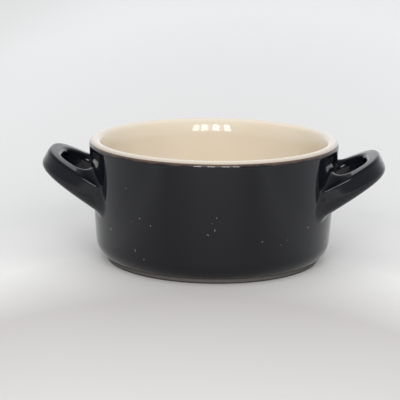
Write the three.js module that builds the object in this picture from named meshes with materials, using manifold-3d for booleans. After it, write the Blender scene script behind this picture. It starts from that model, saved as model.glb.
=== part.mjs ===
// Small stoneware cocotte with two loop handles, standing on the table at z = 0.
// Millimetres, +Z up, the pot's axis on Z and the handles along X.
import * as THREE from 'three';
import { mergeVertices, toCreasedNormals } from 'three/addons/utils/BufferGeometryUtils.js';
import Module from 'manifold-3d';

// Pot, finished sizes over the glaze
const rimRadius = 50;
const potHeight = 49;
const lipThickness = 5;
const wallDraft = THREE.MathUtils.degToRad(4.4);
const cornerRadius = 8;
const flareRadius = 16;
const flareAngle = THREE.MathUtils.degToRad(26);
const innerCornerRadius = 10;
const floorHeight = 6.5;

// Bare foot ring that the pot stands on
const footHeight = 1.9;
const footInset = 4.3;
const footWidth = 4;
const footEdge = 0.6;
const recessDepth = 1.5;

// Glaze: one thickness all over, and the line where the two colours meet on the lip
const glazeThickness = 0.5;
const glazeLineDrop = 0.95;

// Loop handle, a tapering strap bent in a tilted plane
const handleDrop = 21.4;
const handleTilt = THREE.MathUtils.degToRad(28.5);
const loopInset = 8;
const loopLength = 26;
const loopSpread = 34.8;
const loopSquareness = 3.1;

// Reach of the strap's section from the loop's middle line, at the wall and at the tip
const outerReachRoot = 6.3;
const outerReachTip = 3.1;
const innerReachRoot = 4.2;
const innerReachTip = 3.1;
const outerRiseRoot = 4;
const outerRiseTip = 3.6;
const innerRiseRoot = 5.6;
const innerRiseTip = 4.1;
const fallRoot = 6.1;
const fallTip = 3.9;

// Rounds on the strap's long edges, at the wall and at the tip
const outerTopEdgeRoot = 0.9;
const outerTopEdgeTip = 1.4;
const innerTopEdgeRoot = 3.4;
const innerTopEdgeTip = 2.2;
const innerLowEdgeRoot = 2.4;
const innerLowEdgeTip = 2.4;
const outerLowEdgeRoot = 4.6;
const outerLowEdgeTip = 2.4;

// Fillets of clay that blend the edges and sides of the strap into the wall
const outerTopFillet = 1.8;
const innerTopFillet = 7.5;
const innerFillet = 4;
const lowFillet = 2.2;
const outerFillet = 3.2;

// Clearances where a handle seats: the slip under its ends, and the glaze round them
const slipGap = 0.3;
const glazeGap = 0.3;

// Facets, and the halvings that find where a line of a handle meets the wall
const roundSteps = 64;
const lipSteps = 6;
const flareSteps = 2;
const cornerSteps = 5;
const footEdgeSteps = 2;
const edgeSteps = 4;
const filletSteps = 4;
const strapSteps = 9;
const halvings = 40;

const stoneware = { color: 0x575450, roughness: 0.85, metalness: 0 };
const blackGlaze = { color: 0x17171a, roughness: 0.08, metalness: 0 };
const creamGlaze = { color: 0xdcd1be, roughness: 0.12, metalness: 0 };

const wasm = await Module();
wasm.setup();

// Section of the pot, in radius and height

// The wall runs down from the lip's full round, leaning in by the draft
const lipRadius = lipThickness / 2;
const lipCentre = new THREE.Vector2(rimRadius - lipRadius, potHeight - lipRadius);
const glazeLineAngle = Math.asin(1 - glazeLineDrop / lipRadius);

function arc(centre, radius, from, to, steps) {
  const points = [];
  for (let i = 0; i <= steps; i++) {
    const angle = from + ((to - from) * i) / steps;
    points.push(new THREE.Vector2(radius * Math.cos(angle), radius * Math.sin(angle)).add(centre));
  }
  return points;
}

// Centre, at a given height, of a round that touches a wall line set off from the lip's centre
function roundCentre(offset, height) {
  const along = (lipCentre.y - offset * Math.sin(wallDraft) - height) / Math.cos(wallDraft);
  const radius = lipCentre.x + offset * Math.cos(wallDraft) - along * Math.sin(wallDraft);
  return new THREE.Vector2(radius, height);
}

// Radius of the finished outside wall at a height
function wallRadius(height) {
  const atLip = lipCentre.x + lipRadius / Math.cos(wallDraft);
  return atLip - (lipCentre.y - height) * Math.tan(wallDraft);
}

// Inside, the lip runs into a gentle flare and that into the wall, which leans as the outside does
const flareReach = flareRadius - lipRadius;
const flareShift = new THREE.Vector2(Math.cos(flareAngle), -Math.sin(flareAngle)).multiplyScalar(flareReach);
const flareCentre = lipCentre.clone().add(flareShift);
const innerOffset = flareReach * Math.cos(flareAngle - wallDraft) - flareRadius;
const innerCorner = roundCentre(innerOffset - innerCornerRadius, floorHeight + innerCornerRadius);

// The bottom corner's round sits so that the foot ring leaves it at the foot's height
const footAngle = -Math.acos(1 - footInset / cornerRadius);
const cornerHeight = footHeight - cornerRadius * Math.sin(footAngle);
const cornerCentre = roundCentre(lipRadius - cornerRadius, cornerHeight);
const footRadius = cornerCentre.x + cornerRadius * Math.cos(footAngle);
const footInner = footRadius - footWidth;

// Outside of the wall from the glaze line down to the foot, set in by a depth of glaze
function wallSkin(depth) {
  return [
    ...arc(lipCentre, lipRadius - depth, glazeLineAngle, -wallDraft, lipSteps / 2),
    ...arc(cornerCentre, cornerRadius - depth, -wallDraft, footAngle, cornerSteps),
  ];
}

// Inside of the pot from the axis up the wall and over the lip, set in by a depth of glaze
function linerSkin(depth) {
  return [
    new THREE.Vector2(0, floorHeight - depth),
    ...arc(innerCorner, innerCornerRadius + depth, -Math.PI / 2, -wallDraft, cornerSteps),
    ...arc(flareCentre, flareRadius - depth, Math.PI - wallDraft, Math.PI - flareAngle, flareSteps),
    ...arc(lipCentre, lipRadius - depth, Math.PI - flareAngle, glazeLineAngle, lipSteps).slice(1),
  ];
}

// Bare foot ring, from the recess under the base round to the outside of the pot
function footSkin() {
  const inner = new THREE.Vector2(footInner + footEdge, footEdge);
  const outer = new THREE.Vector2(footRadius - footEdge, footEdge);
  return [
    new THREE.Vector2(footInner, recessDepth + glazeThickness),
    ...arc(inner, footEdge, Math.PI, Math.PI * 1.5, footEdgeSteps),
    ...arc(outer, footEdge, Math.PI * 1.5, Math.PI * 2, footEdgeSteps),
    new THREE.Vector2(footRadius, footHeight),
  ];
}

// A lathe turned about Z, with its seam closed
function turned(profile) {
  const geometry = new THREE.LatheGeometry(profile, roundSteps);
  return geometry.rotateX(Math.PI / 2);
}

function bodyGeometry() {
  return turned([
    new THREE.Vector2(0, recessDepth + glazeThickness),
    ...footSkin(),
    ...wallSkin(glazeThickness).reverse(),
    ...linerSkin(glazeThickness).reverse().slice(1),
  ]);
}

function linerGeometry() {
  return turned([...linerSkin(glazeThickness), ...linerSkin(0).reverse()]);
}

function wallGlazeGeometry() {
  const outside = wallSkin(0).reverse();
  return turned([...outside, ...wallSkin(glazeThickness), outside[0]]);
}

function baseGlazeGeometry() {
  return turned([
    new THREE.Vector2(0, recessDepth),
    new THREE.Vector2(footInner, recessDepth),
    new THREE.Vector2(footInner, recessDepth + glazeThickness),
    new THREE.Vector2(0, recessDepth + glazeThickness),
  ]);
}

// Handle

// Half of the loop's middle line in its own plane, from where it leaves the wall out to the tip
class HalfLoop extends THREE.Curve {
  getPoint(t) {
    const angle = ((1 - t) * Math.PI) / 2;
    const power = 2 / loopSquareness;
    const out = loopLength * Math.cos(angle) ** power;
    const across = (loopSpread / 2) * Math.sin(angle) ** power;
    return new THREE.Vector3(out, across, 0);
  }
}

const halfLoop = new HalfLoop();
const halfLength = halfLoop.getLength();
const loopStart = new THREE.Vector3(rimRadius - loopInset, 0, potHeight - handleDrop);
const outward = new THREE.Vector3(Math.cos(handleTilt), 0, Math.sin(handleTilt));
const upward = new THREE.Vector3(-Math.sin(handleTilt), 0, Math.cos(handleTilt));

// Middle of the strap and its outward side at a length along the loop; behind the start it runs straight
function strapFrame(length) {
  const t = Math.min(Math.max(length / halfLength, 0), 1);
  const point = halfLoop.getPointAt(t);
  const tangent = t > 0 ? halfLoop.getTangentAt(t) : new THREE.Vector3(1, 0, 0);
  point.x += Math.min(length, 0);
  const middle = loopStart.clone().addScaledVector(outward, point.x);
  middle.y += point.y;
  const side = new THREE.Vector3(0, tangent.x, 0).addScaledVector(outward, -tangent.y);
  return { middle, side, share: point.x / loopLength };
}

// Corners of the strap's section, from the top outside one on round: place and edge round at the
// wall and at the tip, and the fillet on either side of the edge
const corners = [
  {
    across: [outerReachRoot, outerReachTip],
    rise: [outerRiseRoot, outerRiseTip],
    edge: [outerTopEdgeRoot, outerTopEdgeTip],
    fillet: [outerTopFillet, outerTopFillet],
  },
  {
    across: [-innerReachRoot, -innerReachTip],
    rise: [innerRiseRoot, innerRiseTip],
    edge: [innerTopEdgeRoot, innerTopEdgeTip],
    fillet: [innerTopFillet, innerTopFillet],
  },
  {
    across: [-innerReachRoot, -innerReachTip],
    rise: [-fallRoot, -fallTip],
    edge: [innerLowEdgeRoot, innerLowEdgeTip],
    fillet: [innerFillet, lowFillet],
  },
  {
    across: [outerReachRoot, outerReachTip],
    rise: [-fallRoot, -fallTip],
    edge: [outerLowEdgeRoot, outerLowEdgeTip],
    fillet: [lowFillet, outerFillet],
  },
];

const between = (ends, share) => THREE.MathUtils.lerp(ends[0], ends[1], share);

// Lines that run along the strap: a few on the round of each edge
const lines = corners.flatMap((corner, place) => Array.from({ length: edgeSteps + 1 }, (_, i) => {
  const share = i / edgeSteps;
  return { place, share, fillet: between(corner.fillet, share) };
}));

function sharpCorner(place, share, grow) {
  const corner = corners[place % corners.length];
  const across = between(corner.across, share);
  const rise = between(corner.rise, share);
  return new THREE.Vector2(across + Math.sign(across) * grow, rise + Math.sign(rise) * grow);
}

// Way that the side between two corners faces, as an angle from the outward side
function sideFacing(from, to) {
  return Math.atan2(from.x - to.x, to.y - from.y);
}

const unitAt = (angle) => new THREE.Vector2(Math.cos(angle), Math.sin(angle));

// Point where a line crosses the section at a share of the loop, and the way the skin faces there
function sectionPoint(line, share, grow) {
  const here = sharpCorner(line.place, share, grow);
  const faceIn = sideFacing(sharpCorner(line.place + corners.length - 1, share, grow), here);
  const faceOut = sideFacing(here, sharpCorner(line.place + 1, share, grow));
  const bend = THREE.MathUtils.euclideanModulo(faceOut - faceIn, 2 * Math.PI);
  const facing = unitAt(faceIn + bend * line.share);
  const radius = between(corners[line.place].edge, share) + grow;
  const inset = unitAt(faceIn).add(unitAt(faceOut)).multiplyScalar(radius / (1 + Math.cos(bend)));
  return { offset: here.sub(inset).addScaledVector(facing, radius), facing };
}

// Point on a line of the strap at a length along the loop, and the way the skin faces there
function strapPoint(length, line, grow) {
  const frame = strapFrame(length);
  const { offset, facing } = sectionPoint(line, frame.share, grow);
  const point = frame.middle.clone().addScaledVector(frame.side, offset.x).addScaledVector(upward, offset.y);
  const normal = upward.clone().multiplyScalar(facing.y).addScaledVector(frame.side, facing.x);
  return { point, normal };
}

// Length along the loop at which a line of the strap stands a distance off the wall, by halving
function lengthOffWall(distance, line, grow) {
  let inside = -rimRadius / 2;
  let outside = halfLength;
  for (let i = 0; i < halvings; i++) {
    const length = (inside + outside) / 2;
    const { point } = strapPoint(length, line, grow);
    const off = Math.hypot(point.x, point.y) - wallRadius(point.z);
    if (off < distance) {
      inside = length;
    } else {
      outside = length;
    }
  }
  return outside;
}

// A point of the fillet: the strap's line pushed out along the wall, kept a distance off it
function filletPoint(distance, spread, line, grow) {
  const length = lengthOffWall(Math.max(distance, 0), line, grow);
  const { point, normal } = strapPoint(length, line, grow);
  const azimuth = Math.atan2(point.y, point.x);
  const wallNormal = new THREE.Vector3(Math.cos(azimuth), Math.sin(azimuth), -Math.tan(wallDraft));
  point.add(normal.multiplyScalar(spread).projectOnPlane(wallNormal.normalize()));
  const scale = (wallRadius(point.z) + distance) / Math.hypot(point.x, point.y);
  return new THREE.Vector3(point.x * scale, point.y * scale, point.z);
}

// Rings of points from the end in the wall to the tip, then mirrored back to the other end
function strapRings(grow) {
  const rings = [lines.map((line) => filletPoint(-lipRadius, line.fillet, line, grow))];
  for (let i = 0; i <= filletSteps; i++) {
    const turn = ((Math.PI / 2) * i) / filletSteps;
    rings.push(lines.map((line) => {
      const distance = line.fillet * (1 - Math.cos(turn));
      const spread = line.fillet * (1 - Math.sin(turn));
      return filletPoint(distance, spread, line, grow);
    }));
  }
  const starts = lines.map((line) => lengthOffWall(line.fillet, line, grow));
  for (let i = 1; i <= strapSteps; i++) {
    const share = i / strapSteps;
    rings.push(lines.map((line, j) => {
      const length = THREE.MathUtils.lerp(starts[j], halfLength, share);
      return strapPoint(length, line, grow).point;
    }));
  }
  const mirrored = rings.slice(0, -1).reverse();
  const across = mirrored.map((ring) => ring.map((p) => new THREE.Vector3(p.x, -p.y, p.z)));
  return [...rings, ...across];
}

// Closed skin through the rings, with a fan over each end
function loft(rings) {
  const sides = rings[0].length;
  const points = rings.flat();
  const index = [];
  for (let ring = 0; ring + 1 < rings.length; ring++) {
    for (let side = 0; side < sides; side++) {
      const next = (side + 1) % sides;
      const a = ring * sides + side;
      const b = ring * sides + next;
      index.push(a, b, a + sides, b, b + sides, a + sides);
    }
  }
  for (const ring of [0, rings.length - 1]) {
    const middle = new THREE.Vector3();
    rings[ring].forEach((point) => middle.addScaledVector(point, 1 / sides));
    const centre = points.push(middle) - 1;
    for (let side = 0; side < sides; side++) {
      const a = ring * sides + side;
      const b = ring * sides + ((side + 1) % sides);
      index.push(centre, ring === 0 ? b : a, ring === 0 ? a : b);
    }
  }
  const geometry = new THREE.BufferGeometry().setFromPoints(points);
  return geometry.setIndex(index);
}

// Booleans

function toSolid(geometry) {
  const bare = geometry.clone();
  bare.deleteAttribute('normal');
  bare.deleteAttribute('uv');
  const merged = mergeVertices(bare);
  return new wasm.Manifold(new wasm.Mesh({
    numProp: 3,
    vertProperties: new Float32Array(merged.attributes.position.array),
    triVerts: new Uint32Array(merged.index.array),
  }));
}

function toGeometry(solid) {
  const mesh = solid.getMesh();
  const geometry = new THREE.BufferGeometry();
  geometry.setAttribute('position', new THREE.BufferAttribute(mesh.vertProperties, 3));
  geometry.setIndex(new THREE.BufferAttribute(mesh.triVerts, 1));
  return toCreasedNormals(geometry, Math.PI / 6);
}

// The clay wall as a plug, with the slip that beds a handle on it
function wallPlug() {
  const outside = wallRadius(potHeight) - glazeThickness + slipGap;
  const foot = wallRadius(0) - glazeThickness + slipGap;
  return toSolid(turned([
    new THREE.Vector2(0, 0),
    new THREE.Vector2(foot, 0),
    new THREE.Vector2(outside, potHeight),
    new THREE.Vector2(0, potHeight),
  ]));
}

function handleGeometry() {
  return toGeometry(toSolid(loft(strapRings(0))).subtract(wallPlug()));
}

// The black coat, with a window round each end of the handles
function windowedGlazeGeometry() {
  const strap = loft(strapRings(glazeGap));
  const right = toSolid(strap);
  const left = toSolid(strap.clone().rotateZ(Math.PI));
  return toGeometry(toSolid(wallGlazeGeometry()).subtract(right).subtract(left));
}

// Assembly

const pot = new THREE.Group();

function addPiece(name, geometry, finish) {
  const mesh = new THREE.Mesh(geometry, new THREE.MeshStandardMaterial(finish));
  mesh.name = name;
  pot.add(mesh);
  return mesh;
}

addPiece('stoneware_body', bodyGeometry(), stoneware);
addPiece('cream_liner_glaze', linerGeometry(), creamGlaze);
addPiece('black_wall_glaze', windowedGlazeGeometry(), blackGlaze);
addPiece('black_base_glaze', baseGlazeGeometry(), blackGlaze);
const handle = handleGeometry();
addPiece('right_handle', handle, blackGlaze);
addPiece('left_handle', handle.clone(), blackGlaze).rotation.z = Math.PI;

export default pot;
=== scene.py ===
import math

import bmesh
import bpy
import numpy as np
from mathutils import Matrix, Vector


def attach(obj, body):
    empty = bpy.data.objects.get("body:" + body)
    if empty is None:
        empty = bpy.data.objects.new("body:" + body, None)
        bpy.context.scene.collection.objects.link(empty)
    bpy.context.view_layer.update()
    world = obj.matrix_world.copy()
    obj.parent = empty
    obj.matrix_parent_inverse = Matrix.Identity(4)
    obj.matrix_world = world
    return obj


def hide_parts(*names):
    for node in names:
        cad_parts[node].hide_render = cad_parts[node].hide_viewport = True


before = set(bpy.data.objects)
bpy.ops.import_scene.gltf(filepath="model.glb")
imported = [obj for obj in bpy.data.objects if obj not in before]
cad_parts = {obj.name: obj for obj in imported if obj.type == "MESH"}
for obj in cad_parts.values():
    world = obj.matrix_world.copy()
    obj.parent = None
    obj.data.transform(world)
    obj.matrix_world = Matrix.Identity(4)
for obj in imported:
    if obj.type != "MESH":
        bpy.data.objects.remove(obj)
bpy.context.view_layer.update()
print("frame:", len(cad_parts), "nodes loaded")

mm = 0.001  # sizes below are in millimetres, Blender works in metres
scene = bpy.context.scene
scene.view_settings.view_transform = "Standard"


def hexColour(code):
    channels = [int(code[i : i + 2], 16) / 255 for i in (1, 3, 5)]
    linear = [c / 12.92 if c <= 0.04045 else ((c + 0.055) / 1.055) ** 2.4 for c in channels]
    return (*linear, 1.0)


# Adds a node; a key that the node has as a property is set there, any other is an input
def addNode(tree, kind, settings=None, links=None):
    node = tree.nodes.new(kind)
    for key, value in (settings or {}).items():
        if isinstance(key, str) and hasattr(node, key):
            setattr(node, key, value)
        else:
            node.inputs[key].default_value = value
    for key, source in (links or {}).items():
        tree.links.new(source, node.inputs[key])
    return node


def newFinish(name):
    finish = bpy.data.materials.new(name)
    finish.use_nodes = True
    finish.node_tree.nodes.clear()
    return finish, finish.node_tree


def placePiece(name, mesh):
    piece = bpy.data.objects.new(name, mesh)
    scene.collection.objects.link(piece)
    return piece


# Merges doubles, turns faces outward, and keeps creases sharper than the angle
def cleanMesh(mesh, creaseAngle=35.0, mergeDistance=0.001):
    work = bmesh.new()
    work.from_mesh(mesh)
    bmesh.ops.remove_doubles(work, verts=work.verts, dist=mergeDistance * mm)
    bmesh.ops.recalc_face_normals(work, faces=work.faces)
    work.to_mesh(mesh)
    work.free()
    mesh.shade_smooth()
    mesh.set_sharp_from_angle(angle=math.radians(creaseAngle))


# Turns an evaluated node tree into a plain mesh and drops the modifier
def bakePiece(piece):
    graph = bpy.context.evaluated_depsgraph_get()
    mesh = bpy.data.meshes.new_from_object(piece.evaluated_get(graph), depsgraph=graph)
    mesh.name = piece.name
    piece.modifiers.clear()
    piece.data = mesh
    return piece


# The pot's finished sizes over the glaze
pot = {
    "rimRadius": 50.0,
    "height": 49.0,
    "lipThickness": 5.0,
    "draft": 4.4,  # degrees the wall leans in towards the foot
    "cornerRadius": 8.0,
    "flareRadius": 16.0,
    "flareAngle": 26.0,
    "innerCornerRadius": 10.0,
    "floorHeight": 6.5,
    "footHeight": 1.9,
    "footInset": 4.3,
    "footWidth": 4.0,
    "footEdge": 0.6,
    "footSetBack": 0.3,  # bare clay stands this far inside the glaze edge
    "recessDepth": 1.5,
    "glazeThickness": 0.5,
    "glazeLineDrop": 0.95,  # where black meets cream, below the top of the lip
    # facets along each round of the profile
    "lipSteps": 12,
    "overLipSteps": 22,
    "flareSteps": 10,
    "cornerSteps": 18,
    "footEdgeSteps": 6,
    "rollSteps": 6,
}

draft = math.radians(pot["draft"])
lipRadius = pot["lipThickness"] / 2
lipCentre = np.array([pot["rimRadius"] - lipRadius, pot["height"] - lipRadius])
glazeLineAngle = math.asin(1 - pot["glazeLineDrop"] / lipRadius)
glazeLineHeight = pot["height"] - pot["glazeLineDrop"]


def arc(centre, radius, start, end, steps):
    angles = np.linspace(start, end, steps + 1)
    return [centre + radius * np.array([math.cos(a), math.sin(a)]) for a in angles]


# Centre, at a height, of a round that touches a wall line set off from the lip's centre
def roundCentre(offset, height):
    along = (lipCentre[1] - offset * math.sin(draft) - height) / math.cos(draft)
    return np.array([lipCentre[0] + offset * math.cos(draft) - along * math.sin(draft), height])


# Radius of the outside wall at a height
def wallRadius(height):
    return lipCentre[0] + lipRadius / math.cos(draft) - (lipCentre[1] - height) * math.tan(draft)


# Inside, the lip runs into a gentle flare and that into the wall, which leans as the outside does
flareAngle = math.radians(pot["flareAngle"])
flareReach = pot["flareRadius"] - lipRadius
flareCentre = lipCentre + flareReach * np.array([math.cos(flareAngle), -math.sin(flareAngle)])
innerOffset = flareReach * math.cos(flareAngle - draft) - pot["flareRadius"]
innerCorner = roundCentre(
    innerOffset - pot["innerCornerRadius"], pot["floorHeight"] + pot["innerCornerRadius"]
)

# The bottom corner's round sits so that the foot ring leaves it at the foot's height
footAngle = -math.acos(1 - pot["footInset"] / pot["cornerRadius"])
cornerHeight = pot["footHeight"] - pot["cornerRadius"] * math.sin(footAngle)
cornerCentre = roundCentre(lipRadius - pot["cornerRadius"], cornerHeight)
footRadius = cornerCentre[0] + pot["cornerRadius"] * math.cos(footAngle)
footInner = footRadius - pot["footWidth"]


# Outside of the wall from the glaze line down to the foot, set in by a depth of glaze
def wallSkin(depth):
    return [
        *arc(lipCentre, lipRadius - depth, glazeLineAngle, -draft, pot["lipSteps"]),
        *arc(
            cornerCentre, pot["cornerRadius"] - depth, -draft, footAngle, pot["cornerSteps"]
        ),
    ]


# Inside from the axis up the wall and over the lip, set in by a depth of glaze
def linerSkin(depth):
    corner = pot["innerCornerRadius"] + depth
    flare = pot["flareRadius"] - depth
    wallEnd, flareEnd = math.pi - draft, math.pi - flareAngle
    lip = arc(lipCentre, lipRadius - depth, flareEnd, glazeLineAngle, pot["overLipSteps"])
    return [
        np.array([0.0, pot["floorHeight"] - depth]),
        *arc(innerCorner, corner, -math.pi / 2, -draft, pot["cornerSteps"]),
        *arc(flareCentre, flare, wallEnd, flareEnd, pot["flareSteps"]),
        *lip[1:],
    ]


# Bare foot ring, from the recess under the base round to the outside of the pot
def footSkin():
    bareRadius = footRadius - pot["footSetBack"]
    edge, steps = pot["footEdge"], pot["footEdgeSteps"]
    return [
        np.array([footInner, pot["recessDepth"] + pot["glazeThickness"]]),
        *arc(np.array([footInner + edge, edge]), edge, math.pi, math.pi * 1.5, steps),
        *arc(np.array([bareRadius - edge, edge]), edge, math.pi * 1.5, math.pi * 2, steps),
        np.array([bareRadius, pot["footHeight"] + pot["footSetBack"]]),
    ]


# The glaze stops above the foot in a rolled edge
def glazeRoll():
    rollRadius = pot["glazeThickness"] / 2
    middle = pot["cornerRadius"] - rollRadius
    centre = cornerCentre + middle * np.array([math.cos(footAngle), math.sin(footAngle)])
    roll = arc(centre, rollRadius, footAngle, footAngle - math.pi, pot["rollSteps"])
    return roll[1:-1]  # its ends are on the skins already


# Node tree that turns a profile about the pot's axis, as on a wheel
def wheelTree():
    tree = bpy.data.node_groups.new("turnOnWheel", "GeometryNodeTree")
    interface = tree.interface
    interface.new_socket("Profile", in_out="INPUT", socket_type="NodeSocketGeometry")
    sockets = {
        key: interface.new_socket(name, in_out="INPUT", socket_type=kind)
        for key, name, kind in (
            ("steps", "Steps", "NodeSocketInt"),
            ("spine", "Spine Radius", "NodeSocketFloat"),
            ("finish", "Finish", "NodeSocketMaterial"),
        )
    }
    interface.new_socket("Piece", in_out="OUTPUT", socket_type="NodeSocketGeometry")
    given = addNode(tree, "NodeGroupInput").outputs
    section = addNode(tree, "GeometryNodeMeshToCurve", {}, {"Mesh": given["Profile"]})
    circle = addNode(
        tree,
        "GeometryNodeCurvePrimitiveCircle",
        {"mode": "RADIUS"},
        {"Resolution": given["Steps"], "Radius": given["Spine Radius"]},
    )
    spine = addNode(
        tree, "GeometryNodeSetCurveNormal", {"mode": "Z_UP"}, {"Curve": circle.outputs["Curve"]}
    )
    skin = addNode(
        tree,
        "GeometryNodeCurveToMesh",
        {},
        {"Curve": spine.outputs["Curve"], "Profile Curve": section.outputs["Curve"]},
    )
    real = addNode(
        tree, "GeometryNodeRealizeInstances", {}, {"Geometry": skin.outputs["Mesh"]}
    )
    finished = addNode(
        tree,
        "GeometryNodeSetMaterial",
        {},
        {"Geometry": real.outputs["Geometry"], "Material": given["Finish"]},
    )
    addNode(tree, "NodeGroupOutput", {}, {"Piece": finished.outputs["Geometry"]})
    return tree, sockets


# Facets round the pot, and the radius of the circle that carries the profile round
wheel = {"steps": 288, "spineRadius": 10.0}
wheelNodes, wheelSockets = wheelTree()


# A profile is drawn as (radius from the spine, minus height), which the wheel stands upright
def turnPiece(name, profile, finish, closed):
    points = [((r - wheel["spineRadius"]) * mm, -z * mm, 0.0) for r, z in profile]
    edges = [(i, i + 1) for i in range(len(points) - 1)]
    if closed:
        edges.append((len(points) - 1, 0))
    mesh = bpy.data.meshes.new(name)
    mesh.from_pydata(points, edges, [])
    piece = placePiece(name, mesh)
    turning = piece.modifiers.new("wheel", "NODES")
    turning.node_group = wheelNodes
    turning[wheelSockets["steps"].identifier] = wheel["steps"]
    turning[wheelSockets["spine"].identifier] = wheel["spineRadius"] * mm
    turning[wheelSockets["finish"].identifier] = finish
    bakePiece(piece)
    cleanMesh(piece.data)
    return piece


# Glossy black glaze, dipped and fired: a deep near-black with a mirror gloss that the fired
# surface ripples a little, breaking to brown where it runs thin at the rim. The paler band above
# the foot is partly thin glaze and partly a painted reflection of the floor
blackGlaze = {
    "body": "#0e1016",
    "warmBody": "#121217",
    "rimBrown": "#5e4e45",
    # paler band above the foot: thin glaze and a painted reflection of the floor
    "footBrownAndReflection": "#45413a",
    "breakWidth": 1.3,
    "breakSwing": 0.8,  # how far the ragged edge of the break swings up and down
    "breakRagged": 5.0,
    "cloudSize": 12.0,
    "ripple": 7.0,
    "rippleHeight": 0.012,
    "ior": 1.39,
    "roughness": 0.05,
}


def makeBlackGlaze():
    finish, tree = newFinish("blackFiredGlaze")
    place = addNode(tree, "ShaderNodeTexCoord").outputs["Object"]
    axes = addNode(tree, "ShaderNodeSeparateXYZ", {}, {"Vector": place})
    cloud = addNode(
        tree,
        "ShaderNodeTexNoise",
        {"Scale": 1 / (blackGlaze["cloudSize"] * mm), "Detail": 3.0},
        {"Vector": place},
    )
    ragged = addNode(
        tree,
        "ShaderNodeTexNoise",
        {"Scale": 1 / (blackGlaze["breakRagged"] * mm), "Detail": 4.0, "Roughness": 0.6},
        {"Vector": place},
    )
    body = addNode(
        tree,
        "ShaderNodeMix",
        {
            "data_type": "RGBA",
            6: hexColour(blackGlaze["body"]),
            7: hexColour(blackGlaze["warmBody"]),
        },
        {0: cloud.outputs["Fac"]},
    )
    swing = blackGlaze["breakSwing"] * mm
    raggedness = addNode(
        tree,
        "ShaderNodeMath",
        {"operation": "MULTIPLY_ADD", 1: 2 * swing, 2: -swing},
        {0: ragged.outputs["Fac"]},
    )
    height = addNode(
        tree,
        "ShaderNodeMath",
        {"operation": "ADD"},
        {0: axes.outputs["Z"], 1: raggedness.outputs["Value"]},
    )
    rimBreak = addNode(
        tree,
        "ShaderNodeMapRange",
        {
            "interpolation_type": "SMOOTHSTEP",
            "From Min": (glazeLineHeight - blackGlaze["breakWidth"]) * mm,
            "From Max": glazeLineHeight * mm,
        },
        {"Value": height.outputs["Value"]},
    )
    # Paler band above the foot: thin glaze and a painted reflection of the floor
    footBreakAndReflection = addNode(
        tree,
        "ShaderNodeMapRange",
        {
            "interpolation_type": "SMOOTHSTEP",
            "From Min": (pot["footHeight"] + blackGlaze["breakWidth"]) * mm,
            "From Max": pot["footHeight"] * mm,
        },
        {"Value": height.outputs["Value"]},
    )
    withRim = addNode(
        tree,
        "ShaderNodeMix",
        {"data_type": "RGBA", 7: hexColour(blackGlaze["rimBrown"])},
        {0: rimBreak.outputs["Result"], 6: body.outputs[2]},
    )
    colour = addNode(
        tree,
        "ShaderNodeMix",
        {"data_type": "RGBA", 7: hexColour(blackGlaze["footBrownAndReflection"])},
        {0: footBreakAndReflection.outputs["Result"], 6: withRim.outputs[2]},
    )
    ripple = addNode(
        tree,
        "ShaderNodeTexNoise",
        {"Scale": 1 / (blackGlaze["ripple"] * mm), "Detail": 1.0},
        {"Vector": place},
    )
    relief = addNode(
        tree,
        "ShaderNodeBump",
        {"Strength": 1.0, "Distance": blackGlaze["rippleHeight"] * mm},
        {"Height": ripple.outputs["Fac"]},
    )
    surface = addNode(
        tree,
        "ShaderNodeBsdfPrincipled",
        {"IOR": blackGlaze["ior"], "Roughness": blackGlaze["roughness"]},
        {"Base Color": colour.outputs[2], "Normal": relief.outputs["Normal"]},
    )
    addNode(tree, "ShaderNodeOutputMaterial", {}, {"Surface": surface.outputs["BSDF"]})
    return finish


# Cream liner glaze, poured and fired: an opaque warm white with a clear gloss and soft clouding,
# with a painted highlight on the crest of the lip, and tan over the outside of the lip, where the
# glaze draws thin and painted shade darkens the slope that faces the viewer
creamGlaze = {
    "body": "#dcd1be",
    "clouded": "#d5c6af",
    "crestHighlight": "#e3dacb",
    "crestHighlightSpan": (44.5, 46.8),  # radii between which the painted highlight comes in
    "thinGlazeAndShade": "#b6aca0",
    "thinGlazeAndShadeSpan": (47.8, 49.6),  # radii between which the glaze thins and the painted shade comes in
    "cloudSize": 22.0,
    "ripple": 9.0,
    "rippleHeight": 0.012,
    "ior": 1.5,
    "roughness": 0.06,
}


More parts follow.
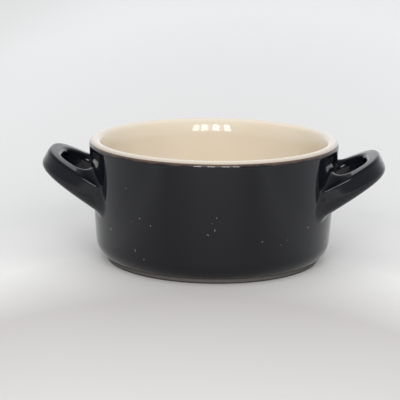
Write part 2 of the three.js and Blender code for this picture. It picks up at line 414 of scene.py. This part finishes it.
def makeCreamGlaze():
    finish, tree = newFinish("creamPouredGlaze")
    place = addNode(tree, "ShaderNodeTexCoord").outputs["Object"]
    cloud = addNode(
        tree,
        "ShaderNodeTexNoise",
        {"Scale": 1 / (creamGlaze["cloudSize"] * mm), "Detail": 4.0},
        {"Vector": place},
    )
    body = addNode(
        tree,
        "ShaderNodeMix",
        {
            "data_type": "RGBA",
            6: hexColour(creamGlaze["body"]),
            7: hexColour(creamGlaze["clouded"]),
        },
        {0: cloud.outputs["Fac"]},
    )
    level = addNode(
        tree, "ShaderNodeVectorMath", {"operation": "MULTIPLY", 1: (1.0, 1.0, 0.0)}, {0: place}
    )
    radius = addNode(
        tree, "ShaderNodeVectorMath", {"operation": "LENGTH"}, {0: level.outputs["Vector"]}
    )
    colour = body
    # Painted highlight on the crest of the lip, then thin glaze with painted shade on its outer
    # slope
    for depth in ("crestHighlight", "thinGlazeAndShade"):
        start, end = creamGlaze[depth + "Span"]
        share = addNode(
            tree,
            "ShaderNodeMapRange",
            {
                "interpolation_type": "SMOOTHSTEP",
                "From Min": start * mm,
                "From Max": end * mm,
            },
            {"Value": radius.outputs["Value"]},
        )
        colour = addNode(
            tree,
            "ShaderNodeMix",
            {"data_type": "RGBA", 7: hexColour(creamGlaze[depth])},
            {0: share.outputs["Result"], 6: colour.outputs[2]},
        )
    ripple = addNode(
        tree,
        "ShaderNodeTexNoise",
        {"Scale": 1 / (creamGlaze["ripple"] * mm), "Detail": 1.0},
        {"Vector": place},
    )
    relief = addNode(
        tree,
        "ShaderNodeBump",
        {"Strength": 1.0, "Distance": creamGlaze["rippleHeight"] * mm},
        {"Height": ripple.outputs["Fac"]},
    )
    surface = addNode(
        tree,
        "ShaderNodeBsdfPrincipled",
        {"IOR": creamGlaze["ior"], "Roughness": creamGlaze["roughness"]},
        {"Base Color": colour.outputs[2], "Normal": relief.outputs["Normal"]},
    )
    addNode(tree, "ShaderNodeOutputMaterial", {}, {"Surface": surface.outputs["BSDF"]})
    return finish


# Bare stoneware, wiped clean and fired: matt, sandy, with dark iron grains, and a painted
# contact shadow darkening the edge that it stands on
bareStoneware = {
    "clay": "#565350",
    "iron": "#423c35",
    "ironSpan": (0.60, 0.72),  # part of the grain's noise over which clay turns to iron
    "contactShadow": "#23211f",
    "contactShadowSpan": (0.8, 0.3),  # heights between which the painted contact shadow comes in
    "grain": 0.6,
    "grainHeight": 0.03,
    "ior": 1.5,
    "roughness": 0.85,
}


def makeBareStoneware():
    finish, tree = newFinish("bareFiredStoneware")
    place = addNode(tree, "ShaderNodeTexCoord").outputs["Object"]
    grain = addNode(
        tree,
        "ShaderNodeTexNoise",
        {"Scale": 1 / (bareStoneware["grain"] * mm), "Detail": 3.0},
        {"Vector": place},
    )
    ironShare = addNode(
        tree,
        "ShaderNodeMapRange",
        {"From Min": bareStoneware["ironSpan"][0], "From Max": bareStoneware["ironSpan"][1]},
        {"Value": grain.outputs["Fac"]},
    )
    colour = addNode(
        tree,
        "ShaderNodeMix",
        {
            "data_type": "RGBA",
            6: hexColour(bareStoneware["clay"]),
            7: hexColour(bareStoneware["iron"]),
        },
        {0: ironShare.outputs["Result"]},
    )
    axes = addNode(tree, "ShaderNodeSeparateXYZ", {}, {"Vector": place})
    # Painted contact shadow: darker towards the lowest edge of the foot
    contactShadowShare = addNode(
        tree,
        "ShaderNodeMapRange",
        {
            "interpolation_type": "SMOOTHSTEP",
            "From Min": bareStoneware["contactShadowSpan"][0] * mm,
            "From Max": bareStoneware["contactShadowSpan"][1] * mm,
        },
        {"Value": axes.outputs["Z"]},
    )
    contactShadow = addNode(
        tree,
        "ShaderNodeMix",
        {"data_type": "RGBA", 7: hexColour(bareStoneware["contactShadow"])},
        {0: contactShadowShare.outputs["Result"], 6: colour.outputs[2]},
    )
    relief = addNode(
        tree,
        "ShaderNodeBump",
        {"Strength": 1.0, "Distance": bareStoneware["grainHeight"] * mm},
        {"Height": grain.outputs["Fac"]},
    )
    surface = addNode(
        tree,
        "ShaderNodeBsdfPrincipled",
        {"IOR": bareStoneware["ior"], "Roughness": bareStoneware["roughness"]},
        {"Base Color": contactShadow.outputs[2], "Normal": relief.outputs["Normal"]},
    )
    addNode(tree, "ShaderNodeOutputMaterial", {}, {"Surface": surface.outputs["BSDF"]})
    return finish


# Pale grit fired into the glaze: dull, off-white, just proud of the gloss round it
grit = {"colour": "#a8a39c", "roughness": 0.6}


def makeGrit():
    finish, tree = newFinish("paleKilnGrit")
    surface = addNode(
        tree,
        "ShaderNodeBsdfPrincipled",
        {"Base Color": hexColour(grit["colour"]), "Roughness": grit["roughness"]},
    )
    addNode(tree, "ShaderNodeOutputMaterial", {}, {"Surface": surface.outputs["BSDF"]})
    return finish


blackFinish = makeBlackGlaze()
creamFinish = makeCreamGlaze()
bareFinish = makeBareStoneware()
gritFinish = makeGrit()
print("finishes: black glaze, cream glaze, bare stoneware, grit")

# Profiles of the turned pieces; each coat of glaze takes its rings from the clay's
coat = pot["glazeThickness"]
underGlaze = pot["recessDepth"] + coat
bodyProfile = [
    np.array([0.0, underGlaze]),
    *footSkin(),
    *wallSkin(coat)[::-1],
    *linerSkin(coat)[::-1][1:],
]
linerProfile = [*linerSkin(coat), *linerSkin(0.0)[::-1]]
wallProfile = [*wallSkin(0.0), *glazeRoll(), *wallSkin(coat)[::-1]]
baseProfile = [
    np.array([0.0, pot["recessDepth"]]),
    np.array([footInner, pot["recessDepth"]]),
    np.array([footInner, underGlaze]),
    np.array([0.0, underGlaze]),
]

clayBody = turnPiece("clay_body", bodyProfile, bareFinish, closed=False)
creamLiner = turnPiece("cream_liner", linerProfile, creamFinish, closed=False)
blackWall = turnPiece("black_wall", wallProfile, blackFinish, closed=True)
blackBase = turnPiece("black_base", baseProfile, blackFinish, closed=False)
print("turned: body, liner, wall and base")

# Loop handle: a tapering strap bent in a tilted plane, blended into the wall
loop = {
    "drop": 21.4,  # from the top of the pot to the start of the loop's middle line
    "tilt": 28.5,
    "inset": 8.0,  # from the rim's radius in to that start
    "length": 26.0,
    "spread": 34.8,
    "squareness": 3.1,
    # the strap's reach to each side of its middle line, at the wall and at the tip
    "outer": (6.3, 3.1),
    "inner": (4.2, 3.1),
    "outerRise": (4.0, 3.6),
    "innerRise": (5.6, 4.1),
    "below": (6.1, 3.9),
    # radii of its long edges, from the top outside one on round, at the wall and at the tip
    "edges": ((0.9, 1.4), (3.4, 2.2), (2.4, 2.4), (4.6, 2.4)),
    # radii of the fillets where those edges meet the wall, at the start and end of each round
    "fillets": ((1.8, 1.8), (7.5, 7.5), (4.0, 2.2), (2.2, 3.2)),
    "bury": 0.4,  # how far the ends run into the wall's glaze
    "edgeSteps": 12,
    "flatSteps": 5,
    "filletRings": 14,
    "strapRings": 44,
    "pathSteps": 2000,
    "halvings": 40,  # that find where a line of the strap meets the wall
}
cornerCount = len(loop["edges"])

tilt = math.radians(loop["tilt"])
outward = np.array([math.cos(tilt), 0.0, math.sin(tilt)])
upward = np.array([-math.sin(tilt), 0.0, math.cos(tilt)])
acrossAxis = np.array([0.0, 1.0, 0.0])
loopStart = np.array([pot["rimRadius"] - loop["inset"], 0.0, pot["height"] - loop["drop"]])


def taper(ends, share):
    return ends[0] + (ends[1] - ends[0]) * share


# Lines along the strap: the corner of its section that each belongs to, the share of that
# corner's round that lies before it, and its share of the flat on to the next corner
def strapLines():
    lines = []
    for corner in range(cornerCount):
        rounds = np.linspace(0.0, 1.0, loop["edgeSteps"] + 1)
        flats = np.linspace(0.0, 1.0, loop["flatSteps"] + 1)[1:-1]
        lines += [(corner, share, 0.0) for share in rounds]
        lines += [(corner, 1.0, share) for share in flats]
    corner, roundShare, flatShare = np.array(lines).T
    return corner.astype(int), roundShare, flatShare


lineCorner, lineRound, lineFlat = strapLines()


# Corners of the section before rounding, to the side and up from the strap's middle line
def sharpCorners(share):
    outer, inner, below = (taper(loop[key], share) for key in ("outer", "inner", "below"))
    outerRise, innerRise = (taper(loop[key], share) for key in ("outerRise", "innerRise"))
    return np.array([[outer, outerRise], [-inner, innerRise], [-inner, -below], [outer, -below]])


# Points on the rounded section and the way that the skin faces there
def onRound(corner, share, roundShare):
    sharp = sharpCorners(share)
    pick = np.arange(len(corner))
    around = ((corner + step) % cornerCount for step in (0, -1, 1))
    here, before, after = (sharp[which, :, pick] for which in around)
    faceIn = np.arctan2(before[:, 0] - here[:, 0], here[:, 1] - before[:, 1])
    faceOut = np.arctan2(here[:, 0] - after[:, 0], after[:, 1] - here[:, 1])
    turn = faceIn + (faceOut - faceIn) % (2 * math.pi) * roundShare
    edges = np.array([taper(ends, share) for ends in loop["edges"]])[corner, pick]
    normalIn = np.stack([np.cos(faceIn), np.sin(faceIn)], 1)
    normalOut = np.stack([np.cos(faceOut), np.sin(faceOut)], 1)
    spread = edges / (1 + np.sum(normalIn * normalOut, 1))
    centre = here - (normalIn + normalOut) * spread[:, None]
    return centre + edges[:, None] * np.stack([np.cos(turn), np.sin(turn)], 1), turn


# Section of the strap at a share of the loop for each line: rounds joined by flats
def sectionAt(share):
    here, turn = onRound(lineCorner, share, lineRound)
    ahead, _ = onRound((lineCorner + 1) % cornerCount, share, np.zeros(len(share)))
    return here + (ahead - here) * lineFlat[:, None], turn


# Half of the loop's middle line in its own plane, from the wall out to the tip
loopAngles = np.linspace(math.pi / 2, 0.0, loop["pathSteps"] + 1)
loopOut = loop["length"] * np.abs(np.cos(loopAngles)) ** (2 / loop["squareness"])
loopOut[0] = 0.0  # the cosine there is not quite nought
loopAcross = loop["spread"] / 2 * np.sin(loopAngles) ** (2 / loop["squareness"])
loopSteps = np.hypot(np.diff(loopOut), np.diff(loopAcross))
loopLengths = np.concatenate([[0.0], np.cumsum(loopSteps)])
halfLength = loopLengths[-1]
slopeOut = np.gradient(loopOut, loopLengths)
slopeAcross = np.gradient(loopAcross, loopLengths)


# Points of the strap's skin, its outward side and the skin's facing, at a length for each line
def strapAt(length):
    onLoop = np.clip(length, 0.0, halfLength)
    out = np.interp(onLoop, loopLengths, loopOut) + np.minimum(length, 0.0)
    along = np.interp(onLoop, loopLengths, slopeOut)
    aside = np.interp(onLoop, loopLengths, slopeAcross)
    steep = np.hypot(along, aside)
    across = np.interp(onLoop, loopLengths, loopAcross)
    middle = loopStart + np.outer(out, outward) + np.outer(across, acrossAxis)
    side = np.outer(along / steep, acrossAxis) - np.outer(aside / steep, outward)
    share = out / loop["length"]
    section, turn = sectionAt(share)
    points = middle + side * section[:, :1] + np.outer(section[:, 1], upward)
    return points, side, turn


# Distance of points outside the wall
def offWall(points):
    return np.hypot(points[:, 0], points[:, 1]) - wallRadius(points[:, 2])


# Length along the loop where each line of the strap stands a distance off the wall, by halving
def lengthOffWall(distance):
    inside = np.full(lineRound.shape, -pot["rimRadius"] / 2)
    outside = np.full(lineRound.shape, halfLength)
    for _ in range(loop["halvings"]):
        length = (inside + outside) / 2
        near = offWall(strapAt(length)[0]) < distance
        inside = np.where(near, length, inside)
        outside = np.where(near, outside, length)
    return outside


# Ring of the fillet: the strap's lines pushed out along the wall, kept a distance off it
def filletRing(distance, spread):
    points, side, turn = strapAt(lengthOffWall(np.maximum(distance, 0.0)))
    push = side * np.cos(turn)[:, None] + np.outer(np.sin(turn), upward)
    push = push * spread[:, None]
    azimuth = np.arctan2(points[:, 1], points[:, 0])
    lean = np.full(len(azimuth), -math.tan(draft))
    normal = np.stack([np.cos(azimuth), np.sin(azimuth), lean], 1) * math.cos(draft)
    points = points + push - normal * np.sum(push * normal, 1)[:, None]
    scale = (wallRadius(points[:, 2]) + distance) / np.hypot(points[:, 0], points[:, 1])
    return points * np.stack([scale, scale, np.ones(len(scale))], 1)


# Rings from the end in the glaze to the tip, then mirrored back to the other end
def handleRings():
    starting, ending = np.array(loop["fillets"]).T
    onEdge = taper((starting[lineCorner], ending[lineCorner]), lineRound)
    eased = lineFlat**2 * (3 - 2 * lineFlat)
    radius = taper((onEdge, starting[(lineCorner + 1) % cornerCount]), eased)
    rings = [filletRing(np.full(len(radius), -loop["bury"]), radius)]
    for turn in np.linspace(0.0, math.pi / 2, loop["filletRings"] + 1):
        rings.append(filletRing(radius * (1 - math.cos(turn)), radius * (1 - math.sin(turn))))
    starts = lengthOffWall(radius)
    for share in np.linspace(0.0, 1.0, loop["strapRings"] + 1)[1:]:
        rings.append(strapAt(starts + (halfLength - starts) * share)[0])
    mirrored = [ring * np.array([1.0, -1.0, 1.0]) for ring in rings[-2::-1]]
    return rings + mirrored


loopRings = handleRings()


# Closed skin through the rings, turned about the pot's axis
def handleMesh(name, turn):
    sides = len(lineRound)
    spin = np.array(Matrix.Rotation(turn, 3, "Z"))
    points = np.concatenate(loopRings) @ spin.T * mm
    faces = []
    for ring in range(len(loopRings) - 1):
        for side in range(sides):
            a = ring * sides + side
            b = ring * sides + (side + 1) % sides
            faces.append((a, b, b + sides, a + sides))
    last = (len(loopRings) - 1) * sides
    faces.append(tuple(range(sides))[::-1])
    faces.append(tuple(range(last, last + sides)))
    mesh = bpy.data.meshes.new(name)
    mesh.from_pydata(points.tolist(), [], faces)
    mesh.materials.append(blackFinish)
    cleanMesh(mesh)
    return mesh


rightHandle = placePiece("right_loop", handleMesh("right_loop", 0.0))
leftHandle = placePiece("left_loop", handleMesh("left_loop", math.pi))
print("handles: two loops")

# Pale grains fired into the black glaze
specks = {
    # degrees round from the front to the right, height, width and length in mm, degrees of lean
    "front": (
        (-32.9, 24.6, 0.46, 0.30, 0.0),
        (-27.0, 22.4, 0.34, 0.34, 0.0),
        (4.2, 27.3, 0.26, 0.28, 0.0),
        (2.2, 25.1, 0.20, 0.22, 0.0),
        (3.5, 22.4, 0.18, 1.00, 6.0),
        (0.4, 20.6, 0.14, 0.90, -60.0),
        (25.8, 17.3, 0.10, 1.10, 55.0),
        (35.9, 15.1, 0.24, 0.24, 0.0),
        (39.2, 16.7, 0.18, 0.24, 0.0),
        (52.9, 20.0, 0.24, 0.60, 0.0),
        (-36.3, 11.4, 0.10, 1.40, -10.0),
        (-31.4, 8.4, 0.32, 0.34, 0.0),
        (-53.7, 17.2, 0.32, 0.90, 0.0),
        (-40.3, 35.6, 0.22, 0.30, 0.0),
        (-38.0, 22.7, 0.22, 0.22, 0.0),
    ),
    "others": 20,
    "othersFrom": 118.0,  # degrees round from the front, and how far on from there
    "othersSpan": 124.0,
    "othersSize": (0.2, 0.45),
    "othersHeight": (9.0, 42.0),
    "seed": 11,
    "thickness": 0.1,
    "detail": 2,
}


# Node tree that sets a flattened grain on each point, turned and sized by the point's values
def gritTree():
    tree = bpy.data.node_groups.new("setGrit", "GeometryNodeTree")
    interface = tree.interface
    interface.new_socket("Points", in_out="INPUT", socket_type="NodeSocketGeometry")
    sockets = {
        key: interface.new_socket(name, in_out="INPUT", socket_type=kind)
        for key, name, kind in (
            ("detail", "Detail", "NodeSocketInt"),
            ("finish", "Finish", "NodeSocketMaterial"),
        )
    }
    interface.new_socket("Grit", in_out="OUTPUT", socket_type="NodeSocketGeometry")
    given = addNode(tree, "NodeGroupInput").outputs
    grain = addNode(
        tree, "GeometryNodeMeshIcoSphere", {"Radius": 0.5}, {"Subdivisions": given["Detail"]}
    )  # one unit across, so that its scale is its size
    turn = addNode(
        tree, "GeometryNodeInputNamedAttribute", {"data_type": "FLOAT_VECTOR", "Name": "turn"}
    )
    size = addNode(
        tree, "GeometryNodeInputNamedAttribute", {"data_type": "FLOAT_VECTOR", "Name": "size"}
    )
    grains = addNode(
        tree,
        "GeometryNodeInstanceOnPoints",
        {},
        {
            "Points": given["Points"],
            "Instance": grain.outputs["Mesh"],
            "Rotation": turn.outputs["Attribute"],
            "Scale": size.outputs["Attribute"],
        },
    )
    real = addNode(
        tree, "GeometryNodeRealizeInstances", {}, {"Geometry": grains.outputs["Instances"]}
    )
    finished = addNode(
        tree,
        "GeometryNodeSetMaterial",
        {},
        {"Geometry": real.outputs["Geometry"], "Material": given["Finish"]},
    )
    addNode(tree, "NodeGroupOutput", {}, {"Grit": finished.outputs["Geometry"]})
    return tree, sockets


# Specks round the back, clear of the handles
def otherSpecks():
    dice = np.random.default_rng(specks["seed"])
    others = []
    for _ in range(specks["others"]):
        angle = specks["othersFrom"] + dice.uniform(0.0, specks["othersSpan"])
        length = dice.uniform(*specks["othersSize"])
        height = dice.uniform(*specks["othersHeight"])
        others.append((angle, height, length, length, 0.0))
    return others


def makeSpecks():
    angle, height, width, length, lean = np.array([*specks["front"], *otherSpecks()]).T
    angle = np.radians(angle)
    radius = wallRadius(height)
    points = np.stack([radius * np.sin(angle), -radius * np.cos(angle), height], 1) * mm
    upright = np.full(len(angle), math.pi / 2 + draft)
    turns = np.stack([upright, np.radians(lean), angle], 1)
    sizes = np.stack([width, length, np.full(len(angle), specks["thickness"])], 1) * mm
    mesh = bpy.data.meshes.new("glaze_specks")
    mesh.from_pydata(points.tolist(), [], [])
    for key, values in (("turn", turns), ("size", sizes)):
        stored = mesh.attributes.new(key, "FLOAT_VECTOR", "POINT")
        stored.data.foreach_set("vector", values.ravel())
    piece = placePiece("glaze_specks", mesh)
    tree, sockets = gritTree()
    setting = piece.modifiers.new("grit", "NODES")
    setting.node_group = tree
    setting[sockets["detail"].identifier] = specks["detail"]
    setting[sockets["finish"].identifier] = gritFinish
    bakePiece(piece)
    cleanMesh(piece.data)
    return piece


glazeSpecks = makeSpecks()
print("specks:", len(specks["front"]) + specks["others"])

# Each piece, the node that it stands for and that node's slot
dressed = [
    (clayBody, "stoneware_body", "bare_stoneware"),
    (creamLiner, "cream_liner_glaze", "cream_glaze"),
    (blackWall, "black_wall_glaze", "black_glaze"),
    (blackBase, "black_base_glaze", "black_glaze"),
    (rightHandle, "right_handle", "black_glaze"),
    (leftHandle, "left_handle", "black_glaze"),
]
for piece, node, finishSlot in dressed:
    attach(piece, "root")
    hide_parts(node)
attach(glazeSpecks, "root")
print("placed:", len(dressed) + 1, "pieces on the frame")

# Pale board that the pot stands on, with painted light and shade laid over it in bands
stage = {
    "floorReach": 4.0,  # metres each way
    # painted light and shade across the board, from the viewer's side to the back: distance in
    # metres and colour; darker just in front of the pot as a painted shadow, paler beside it and
    # far behind it as painted light
    "paintedLightAndShade": (
        (-0.34, "#e6e6e5"),
        (-0.17, "#dad8d6"),
        (-0.06, "#ccc9c6"),
        (0.02, "#f3f3f1"),
        (0.12, "#e6e6e5"),
        (0.9, "#fdfdfe"),
    ),
    "bend": 9.0,  # how fast the painted bands of light and shade curve to the viewer on each side, per metre
    "plain": "#f1f1f0",  # plain colour off to the sides
    "plainSpan": (0.1, 0.24),  # metres to the side over which the painted bands fade to that
    "ior": 1.45,
    "roughness": 0.6,
}


def makeFloor():
    finish, tree = newFinish("paleBoardWithPaintedShade")
    place = addNode(tree, "ShaderNodeTexCoord").outputs["Object"]
    axes = addNode(tree, "ShaderNodeSeparateXYZ", {}, {"Vector": place})
    places = [where for where, _ in stage["paintedLightAndShade"]]
    aside = addNode(
        tree,
        "ShaderNodeMath",
        {"operation": "MULTIPLY"},
        {0: axes.outputs["X"], 1: axes.outputs["X"]},
    )
    bent = addNode(
        tree,
        "ShaderNodeMath",
        {"operation": "MULTIPLY_ADD", 1: stage["bend"]},
        {0: aside.outputs["Value"], 2: axes.outputs["Y"]},
    )
    back = addNode(
        tree,
        "ShaderNodeMapRange",
        {"From Min": places[0], "From Max": places[-1]},
        {"Value": bent.outputs["Value"]},
    )
    # Painted light and shade: the bands darken the board in front of the pot and lighten it
    # beside and behind
    colour = addNode(tree, "ShaderNodeValToRGB", {}, {"Fac": back.outputs["Result"]})
    stops = colour.color_ramp.elements
    while len(stops) < len(places):
        stops.new(0.5)  # moved to its own place below
    for stop, (where, paintedLightAndShade) in zip(stops, stage["paintedLightAndShade"]):
        stop.position = (where - places[0]) / (places[-1] - places[0])
        stop.color = hexColour(paintedLightAndShade)
    near, far = stage["plainSpan"]
    fading = addNode(
        tree,
        "ShaderNodeMapRange",
        {"interpolation_type": "SMOOTHSTEP", "From Min": near**2, "From Max": far**2},
        {"Value": aside.outputs["Value"]},
    )
    faded = addNode(
        tree,
        "ShaderNodeMix",
        {"data_type": "RGBA", 7: hexColour(stage["plain"])},
        {0: fading.outputs["Result"], 6: colour.outputs["Color"]},
    )
    surface = addNode(
        tree,
        "ShaderNodeBsdfPrincipled",
        {"IOR": stage["ior"], "Roughness": stage["roughness"]},
        {"Base Color": faded.outputs[2]},
    )
    addNode(tree, "ShaderNodeOutputMaterial", {}, {"Surface": surface.outputs["BSDF"]})
    reach = stage["floorReach"]
    mesh = bpy.data.meshes.new("floor")
    corners = ((-reach, -reach), (reach, -reach), (reach, reach), (-reach, reach))
    mesh.from_pydata([(x, y, 0.0) for x, y in corners], [], [(0, 1, 2, 3)])
    mesh.materials.append(finish)
    floor = placePiece("floor", mesh)


# Soft tent of light, brightest low behind the pot and dimmer overhead and on the viewer's side
tent = {"front": 0.46, "back": 1.13, "overhead": 0.28, "seen": 0.86, "tint": "#fcfdff"}


def makeTent():
    world = bpy.data.worlds.new("softTent")
    world.use_nodes = True
    tree = world.node_tree
    tree.nodes.clear()
    direction = addNode(tree, "ShaderNodeTexCoord").outputs["Generated"]
    axes = addNode(tree, "ShaderNodeSeparateXYZ", {}, {"Vector": direction})
    glow = addNode(
        tree,
        "ShaderNodeMapRange",
        {
            "interpolation_type": "SMOOTHSTEP",
            "From Min": -1.0,
            "From Max": 1.0,
            "To Min": tent["front"],
            "To Max": tent["back"],
        },
        {"Value": axes.outputs["Y"]},
    )
    dimming = addNode(
        tree,
        "ShaderNodeMapRange",
        {"To Min": 1.0, "To Max": tent["overhead"]},
        {"Value": axes.outputs["Z"]},
    )
    dimmed = addNode(
        tree,
        "ShaderNodeMath",
        {"operation": "MULTIPLY"},
        {0: glow.outputs["Result"], 1: dimming.outputs["Result"]},
    )
    path = addNode(tree, "ShaderNodeLightPath")
    strength = addNode(
        tree,
        "ShaderNodeMix",
        {"data_type": "FLOAT", 3: tent["seen"]},
        {0: path.outputs["Is Camera Ray"], 2: dimmed.outputs["Value"]},
    )
    light = addNode(
        tree,
        "ShaderNodeBackground",
        {"Color": hexColour(tent["tint"])},
        {"Strength": strength.outputs[0]},
    )
    addNode(tree, "ShaderNodeOutputWorld", {}, {"Surface": light.outputs["Background"]})
    scene.world = world


# Viewer's side of the stage: degrees round and above the pot, and a distance in metres
view = {
    "azimuth": 3.0,
    "elevation": 12.51,
    "distance": 0.7,
    "aim": (-5.33, 0.0, 23.48),
    "roll": 0.67,
    "lens": 155.96,
    "sensor": 36.0,
}
viewTurn = Matrix.Rotation(math.radians(view["azimuth"]), 3, "Z")

# Four tall panels of light in a row behind the viewer, and a wide dim scrim behind those
panels = {
    "across": (441.0, 222.0, -54.0, -324.0),
    "away": 1200.0,
    "lowest": 380.0,
    "highest": 900.0,
    "width": 150.0,
    "brightness": (8.0, 8.5, 9.0, 9.5),
    "scrimAcross": 60.0,
    "scrimAway": 1260.0,
    "scrimWidth": 980.0,
    "scrimBrightness": 1.8,
}


def makePanel(name, across, away, width, brightness):
    tall = (panels["highest"] - panels["lowest"]) * mm
    light = bpy.data.lights.new(name, "AREA")
    light.shape = "RECTANGLE"
    light.size = width * mm
    light.size_y = tall
    light.energy = brightness * math.pi * light.size * tall  # so its face shows that brightness
    lamp = bpy.data.objects.new(name, light)
    middle = (panels["lowest"] + panels["highest"]) / 2
    lamp.location = viewTurn @ Vector((across, -away, middle)) * mm
    lamp.rotation_euler = (math.pi / 2, 0.0, math.radians(view["azimuth"]))
    lamp.visible_camera = False
    scene.collection.objects.link(lamp)


def makePanels():
    row = zip(panels["across"], panels["brightness"])
    for number, (across, brightness) in enumerate(row):
        makePanel("panel%d" % number, across, panels["away"], panels["width"], brightness)
    makePanel(
        "scrim",
        panels["scrimAcross"],
        panels["scrimAway"],
        panels["scrimWidth"],
        panels["scrimBrightness"],
    )


# Broad fill from high on the viewer's side, kept out of the glaze's reflections
fill = {"rise": 66.0, "spread": 90.0, "strength": 1.43}


def makeFill():
    light = bpy.data.lights.new("fill", "SUN")
    light.angle = math.radians(fill["spread"])
    light.energy = fill["strength"]
    lamp = bpy.data.objects.new("fill", light)
    lean = math.radians(90.0 - fill["rise"])
    lamp.rotation_euler = (lean, 0.0, math.radians(view["azimuth"]))
    lamp.visible_glossy = False
    scene.collection.objects.link(lamp)


def makeCamera():
    lens = bpy.data.cameras.new("viewer")
    lens.sensor_width = view["sensor"]
    lens.lens = view["lens"]
    camera = bpy.data.objects.new("viewer", lens)
    rise = math.radians(view["elevation"])
    aim = viewTurn @ Vector(view["aim"]) * mm
    back = viewTurn @ Vector((0.0, -math.cos(rise), math.sin(rise)))
    right = viewTurn @ Vector((1.0, 0.0, 0.0))
    up = back.cross(right)
    roll = math.radians(view["roll"])
    rolledRight = right * math.cos(roll) + up * math.sin(roll)
    rolledUp = up * math.cos(roll) - right * math.sin(roll)
    turn = Matrix((rolledRight, rolledUp, back)).transposed()
    camera.matrix_world = Matrix.Translation(aim + back * view["distance"]) @ turn.to_4x4()
    scene.collection.objects.link(camera)
    scene.camera = camera


makeFloor()
makeTent()
makePanels()
makeFill()
makeCamera()
print("stage: floor, tent, panels, fill and camera")
